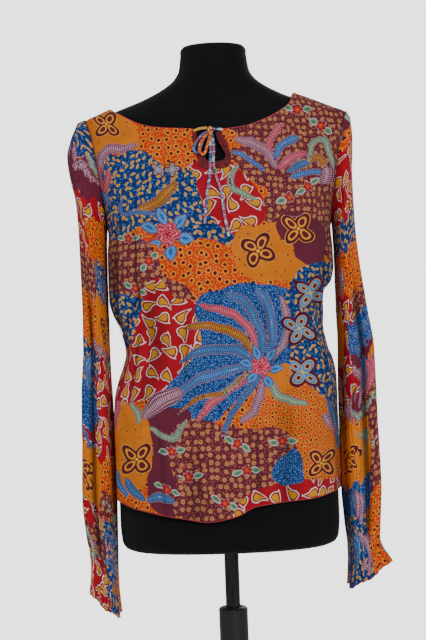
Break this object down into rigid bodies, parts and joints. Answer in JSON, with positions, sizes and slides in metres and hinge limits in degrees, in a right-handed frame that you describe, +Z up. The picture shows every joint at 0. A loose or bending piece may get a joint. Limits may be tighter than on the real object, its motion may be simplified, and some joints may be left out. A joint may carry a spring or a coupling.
{
  "type": "blouse on a dress form",
  "caption": "Long-sleeved printed blouse with a wide round neck, a tied keyhole slit and flared cuffs, worn by a black limbless dress form that turns and rises on a pole stand.",
  "frame": {"origin": "on the floor, under the middle of the base plate", "axes": "+Z up along the pole, -Y towards the front of the blouse, +X to the wearer's left"},
  "size_m": [0.4615, 0.33, 1.467],
  "materials": {
    "printed_cloth": "thin crinkled cloth with a printed batik style pattern",
    "facing_cloth": "gathered dark red strip",
    "tie_cloth": "narrow sewn tube of the printed cloth",
    "black_jersey": "stretched matt knit",
    "pole_metal": "dark polished tube",
    "black_paint": "satin black"
  },
  "bodies": {
    "stand": {"base_plate": "black_paint", "stand_tube": "black_paint", "tube_collar": "black_paint"},
    "pole": {"pole": "pole_metal"},
    "form": {"form_torso": "black_jersey", "front_panel": "printed_cloth", "back_panel": "printed_cloth", "sleeve_left": "printed_cloth", "sleeve_right": "printed_cloth", "keyhole_facing": "facing_cloth", "tie_knot": "tie_cloth", "tie_string_left": "tie_cloth", "tie_string_right": "tie_cloth", "bow_loop_behind": "tie_cloth", "bow_loop_front": "tie_cloth", "tie_end_long": "tie_cloth", "tie_end_short": "tie_cloth"}
  },
  "joints": [
    {"name": "height_slide", "type": "slide", "parent": "stand", "child": "pole", "axis": [0, 0, 1], "range_m": [-0.06, 0.24]},
    {"name": "form_turn", "type": "hinge", "parent": "pole", "child": "form", "pos_m": [0, 0, 0.76], "axis": [0, 0, 1], "continuous": true}
  ]
}
